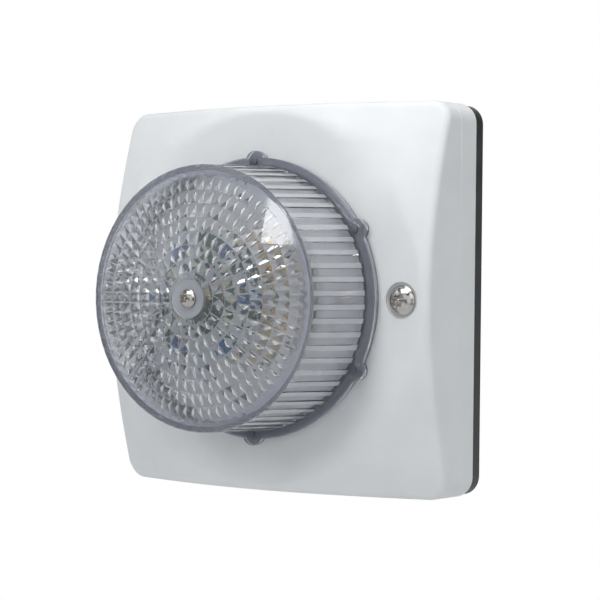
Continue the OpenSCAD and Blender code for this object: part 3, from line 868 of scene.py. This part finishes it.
def build_jack_contacts(materials):
    """Spring wires that slope back into the jack from its mouth."""
    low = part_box("network_jack")[0]
    mouth, front = low.z / MM, -low.y / MM
    contacts, contact_pitch, contact_w = 8, 1.02, 0.4
    skin = Skin()
    for k in range(contacts):
        x = (k - (contacts - 1) / 2) * contact_pitch
        shape = [(mouth + 1.5, front - 3.2), (mouth + 10, front - 6.4), (mouth + 10.4, front - 6.1),
                 (mouth + 1.8, front - 2.9)]
        bar(skin, [place(x, z, d) for z, d in shape], Vector((1, 0, 0)), contact_w)
    piece(skin.build("jack_contacts", [materials["brass"]]), "cover_unit")


# ---- front cover ----

def outline(angle, half, corner):
    """Point and outward normal of a rounded square, on the ray at this angle."""
    c, s = math.cos(angle), math.sin(angle)
    flat = half - corner
    reach = half / max(abs(c), abs(s))
    x, z = reach * c, reach * s
    if abs(x) > flat and abs(z) > flat:
        cx, cz = math.copysign(flat, c), math.copysign(flat, s)
        along = c * cx + s * cz
        reach = along + math.sqrt(max(along ** 2 - cx ** 2 - cz ** 2 + corner ** 2, 0))
        x, z = reach * c, reach * s
        return reach, ((x - cx) / corner, (z - cz) / corner)
    if abs(c) > abs(s):
        return reach, (math.copysign(1, c), 0.0)
    return reach, (0.0, math.copysign(1, s))


def face_depth(r, front):
    """Depth of the front: flat out to FACE_R, then falling as a cone, with a soft edge."""
    soft = 0.55
    fall = CORNER_FALL * (r - FACE_R)
    return front - (fall + math.sqrt(fall ** 2 + soft ** 2)) / 2 + soft / 2 * math.exp(
        -abs(r - FACE_R) / 6)


def cover_angles():
    """Ray angles, closer together round the four corners."""
    angles = []
    for k in range(8):
        start = k * 45.0
        steps = [i * 1.25 for i in range(32)] + [40 + i * 0.5 for i in range(10)]
        if k % 2:
            steps = [45 - s for s in reversed(steps)]
            steps = [s for s in steps if 0 <= s < 45]
        angles += [start + s for s in steps if 0 <= s < 45]
    return sorted(set(round(a % 360, 3) for a in angles))


def cover_section(angle, half, corner, front, fillet, rear):
    """Points (radius, depth) from the middle out over the edge and down the side."""
    rear_reach, normal = outline(angle, half, corner)
    c, s = math.cos(angle), math.sin(angle)
    square_on = abs(normal[0] * c + normal[1] * s)

    def lean_at(d):
        return COVER_LEAN * (d - rear) / (FACE_D - rear) / square_on

    edge_r = rear_reach - lean_at(front)
    edge_d = face_depth(edge_r, front)
    edge_r = rear_reach - lean_at(edge_d)
    edge_d = face_depth(edge_r, front)
    back = fillet / square_on
    start_r = edge_r - back
    start = Vector((start_r, face_depth(start_r, front)))
    end_d = edge_d - fillet
    end = Vector((rear_reach - lean_at(end_d), end_d))
    knee = Vector((edge_r, edge_d))
    radii = [OPENING_R + (start_r - OPENING_R) * t for t in
             (0, 0.2, 0.4, 0.6, 0.7, 0.78, 0.84, 0.88, 0.92, 0.96)]
    points = [Vector((r, face_depth(r, front))) for r in radii]
    for i in range(FILLET_STEPS + 1):
        t = i / FILLET_STEPS
        points.append(start * (1 - t) ** 2 + knee * 2 * t * (1 - t) + end * t ** 2)
    for d, inset in ((PART_LINE_D + 0.16, 0), (PART_LINE_D + 0.08, PART_LINE_T),
                     (PART_LINE_D - 0.08, PART_LINE_T), (PART_LINE_D - 0.16, 0), (rear + 0.4, 0)):
        points.append(Vector((rear_reach - lean_at(d) - inset, d)))
    points.append(Vector((rear_reach - 0.3, rear)))
    return points


def build_cover(materials):
    skin = Skin()
    angles = [math.radians(a) for a in cover_angles()]
    inner_front = FACE_D - COVER_WALL
    outer = [cover_section(a, COVER_HALF, CORNER_R, FACE_D, COVER_FILLET, COVER_REAR)
             for a in angles]
    inner = [cover_section(a, COVER_HALF - COVER_WALL, CORNER_R - COVER_WALL, inner_front, 1.0,
                           COVER_REAR) for a in angles]
    count = len(outer[0])

    def loop(sections, k, shift=0.0):
        return skin.add([polar(p[k].x, a, p[k].y + shift) for p, a in zip(sections, angles)])

    out_loops = [loop(outer, k) for k in range(count)]
    in_loops = [loop(inner, k) for k in range(count)]
    for a, b in zip(out_loops, out_loops[1:]):
        skin.bridge(a, b)
    for a, b in zip(in_loops, in_loops[1:]):
        skin.bridge(a, b)
    skin.bridge(out_loops[-1], in_loops[-1])
    skin.bridge(out_loops[0], in_loops[0])
    cover = skin.build("cover_shell", [materials["white_plastic"]], sharp=40)

    def solid(name, section, spots, n=48):
        made = Skin()
        for x, z in spots:
            loops = lathe(made, section, n, x, z)
            made.cap(loops[0])
            made.cap(loops[-1])
        return made.build(name, [materials["white_plastic"]])

    sides = [(SCREW_X, 0), (-SCREW_X, 0)]
    boss_at, board_front = 44.9, 31.6
    corners = [(sx * boss_at, sz * boss_at) for sx in (1, -1) for sz in (1, -1)]
    fuse = inner_front + 0.6                    # how deep a boss runs into the cover's front
    join = [solid("screw_bosses", [(7.6, COLUMN_TOP + 0.1), (7.6, fuse)], sides),
            solid("board_bosses", [(4, board_front), (4, fuse)], corners)]
    recess = FACE_D - 1.2
    cut = [solid("recess_cutter", [(6.6, recess), (6.6, FACE_D - 0.3), (7.3, FACE_D + 0.5)], sides),
           solid("hole_cutter", [(2.8, 30), (2.8, 42)], sides),
           solid("boss_cutter", [(1.5, board_front - 1), (1.5, inner_front - 0.5)], corners, 24)]
    combine(cover, join, "UNION")
    combine(cover, cut, "DIFFERENCE")
    cover.data.polygons.foreach_set("use_smooth", [True] * len(cover.data.polygons))
    cover.data.set_sharp_from_angle(angle=math.radians(35))
    even = cover.modifiers.new("even_shading", "WEIGHTED_NORMAL")
    even.keep_sharp = True
    return piece(cover, "cover_unit", ["front_cover"])


def combine(target, tools, operation):
    for tool in tools:
        step = target.modifiers.new("combine", "BOOLEAN")
        step.operation = operation
        step.solver = "EXACT"
        step.object = tool
        bpy.context.view_layer.update()
        result = bpy.data.meshes.new_from_object(
            target.evaluated_get(bpy.context.evaluated_depsgraph_get()))
        target.modifiers.clear()
        old = target.data
        target.data = result
        bpy.data.meshes.remove(old)
        bpy.data.objects.remove(tool)


# ---- CAD nodes that keep their own shape ----

def finish_cad_nodes(materials):
    slots = {s["node"]: s["material_slot"] for s in frame["record"]["subparts"]}
    for name, node in frame["nodes"].items():
        node.data.materials.clear()
        node.data.materials.append(materials[slots[name]])
        for face in node.data.polygons:
            face.material_index = 0
    frame["nodes"]["front_led_board"].data.materials[0] = materials["tinned_board"]


def main():
    add_camera()
    add_stage()
    materials = make_materials()
    finish_cad_nodes(materials)
    build_lens(materials)
    build_lugs(materials)
    build_gasket(materials)
    build_screws(materials)
    build_leds(materials)
    build_capacitors(materials)
    build_chips(materials)
    build_jack_contacts(materials)
    build_cover(materials)


main()
